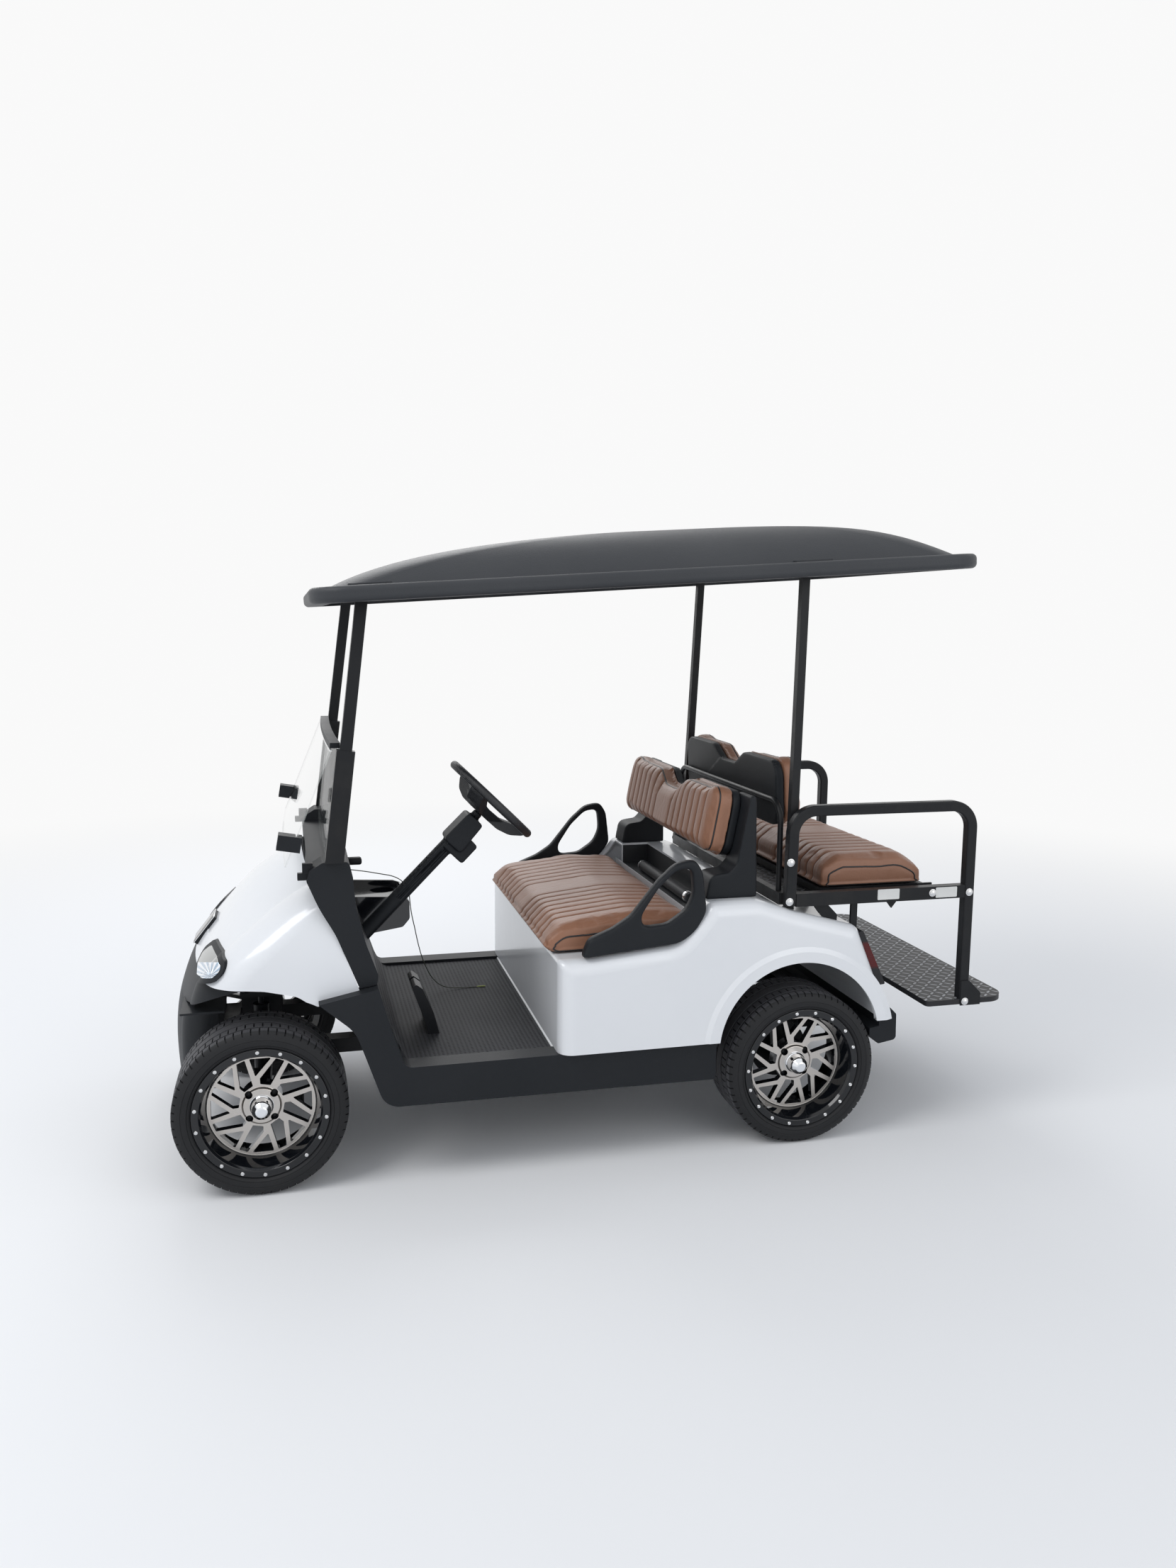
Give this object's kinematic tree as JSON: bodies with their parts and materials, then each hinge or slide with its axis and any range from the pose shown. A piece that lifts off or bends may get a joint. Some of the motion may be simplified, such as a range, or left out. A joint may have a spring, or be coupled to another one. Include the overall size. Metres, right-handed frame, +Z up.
{
  "type": "golf cart",
  "caption": "Electric golf cart with roof, folding windscreen, bench seat under a hinged lid, and a rear-facing flip seat with grab rails and footplate.",
  "frame": {"origin": "on the ground below the middle of the cart's length and width", "axes": "+X forward along the cart, +Y to the driver's left, +Z up from the ground"},
  "size_m": [2.6919, 1.198, 1.978],
  "materials": {
    "tyre": "matt tread rubber",
    "rim_machined": "machined faces with black painted pockets",
    "steel_black": "satin black powder coat",
    "body_white": "gloss white moulding",
    "moulded_black": "fine grained black moulding",
    "gloss_black": "smooth black",
    "roof_charcoal": "grained charcoal moulding",
    "lamp_clear": "clear polished",
    "lamp_red": "red clear lens",
    "tinted_pane": "tinted acrylic",
    "floor_rubber": "ribbed black mat",
    "seat_vinyl": "grained vinyl in dark brown and tan",
    "board": "black base board",
    "black_plate": "black diamond plate",
    "battery_case": "plain dark block",
    "grip": "soft black grip",
    "cord_black": "thin black jacket",
    "plug_green": "yellow-green plug"
  },
  "bodies": {
    "chassis": {"front_suspension": "steel_black", "rear_axle": "steel_black", "rear_springs": "steel_black", "chassis_frame": "steel_black", "battery_pack": "battery_case", "floor_mat": "floor_rubber", "rocker_panels": "moulded_black", "front_cowl": "body_white", "front_bumper": "moulded_black", "headlamp_bezels": "gloss_black", "headlamp_lenses": "lamp_clear", "dash_panel": "moulded_black", "dash_tray": "moulded_black", "windshield_lower": "tinted_pane", "windshield_upper": "tinted_pane", "windshield_clips": "gloss_black", "front_struts": "steel_black", "rear_struts": "steel_black", "roof": "roof_charcoal", "rear_body": "body_white", "tail_lamps": "lamp_red", "rear_bumper": "moulded_black", "hip_restraint_left": "gloss_black", "hip_restraint_right": "gloss_black", "front_backrest": "seat_vinyl", "front_backrest_shell": "moulded_black", "rear_backrest": "seat_vinyl", "rear_backrest_shell": "moulded_black", "seat_towers": "moulded_black", "roll_tube": "steel_black", "grab_rail_left": "steel_black", "grab_rail_right": "steel_black", "rear_seat_frame": "steel_black", "rear_deck": "black_plate", "footplate": "black_plate", "steering_column": "moulded_black", "pedals": "steel_black", "thin_cord": "cord_black", "cord_plug": "plug_green"},
    "knuckle_left": {"knuckle_left": "steel_black"},
    "knuckle_right": {"knuckle_right": "steel_black"},
    "steering_wheel": {"steering_wheel": "grip"},
    "front_seat": {"front_cushion": "seat_vinyl", "front_cushion_base": "board"},
    "rear_seat": {"rear_cushion": "seat_vinyl", "rear_cushion_plate": "steel_black"},
    "wheel_front_left": {"tyre_front_left": "tyre", "rim_front_left": "rim_machined"},
    "wheel_front_right": {"tyre_front_right": "tyre", "rim_front_right": "rim_machined"},
    "wheel_rear_left": {"tyre_rear_left": "tyre", "rim_rear_left": "rim_machined"},
    "wheel_rear_right": {"tyre_rear_right": "tyre", "rim_rear_right": "rim_machined"}
  },
  "joints": [
    {"name": "front_left_wheel_spin", "type": "hinge", "parent": "knuckle_left", "child": "wheel_front_left", "pos_m": [1.076, 0.457, 0.25], "axis": [0, 1, 0], "continuous": true},
    {"name": "front_right_wheel_spin", "type": "hinge", "parent": "knuckle_right", "child": "wheel_front_right", "pos_m": [1.076, -0.457, 0.25], "axis": [0, 1, 0], "continuous": true},
    {"name": "rear_left_wheel_spin", "type": "hinge", "parent": "chassis", "child": "wheel_rear_left", "pos_m": [-0.594, 0.493, 0.25], "axis": [0, 1, 0], "continuous": true},
    {"name": "rear_right_wheel_spin", "type": "hinge", "parent": "chassis", "child": "wheel_rear_right", "pos_m": [-0.594, -0.493, 0.25], "axis": [0, 1, 0], "continuous": true},
    {"name": "left_kingpin", "type": "hinge", "parent": "chassis", "child": "knuckle_left", "pos_m": [1.076, 0.39, 0.25], "axis": [0, 0, 1], "range_deg": [-30, 30]},
    {"name": "right_kingpin", "type": "hinge", "parent": "chassis", "child": "knuckle_right", "pos_m": [1.076, -0.39, 0.25], "axis": [0, 0, 1], "range_deg": [-30, 30]},
    {"name": "steering_wheel_turn", "type": "hinge", "parent": "chassis", "child": "steering_wheel", "pos_m": [0.354, 0.25, 1.1], "axis": [-0.6997, 0, 0.7145], "range_deg": [-360, 360]},
    {"name": "front_seat_lid", "type": "hinge", "parent": "chassis", "child": "front_seat", "pos_m": [0.211, 0, 0.64], "axis": [0, 1, 0], "range_deg": [0, 60]},
    {"name": "rear_seat_flip", "type": "hinge", "parent": "chassis", "child": "rear_seat", "pos_m": [-1.079, 0, 0.792], "axis": [0, -1, 0], "range_deg": [0, 180]}
  ],
  "couplings": [
    {"joint": "right_kingpin", "follows": "left_kingpin", "ratio": 1},
    {"joint": "steering_wheel_turn", "follows": "left_kingpin", "ratio": 12}
  ]
}
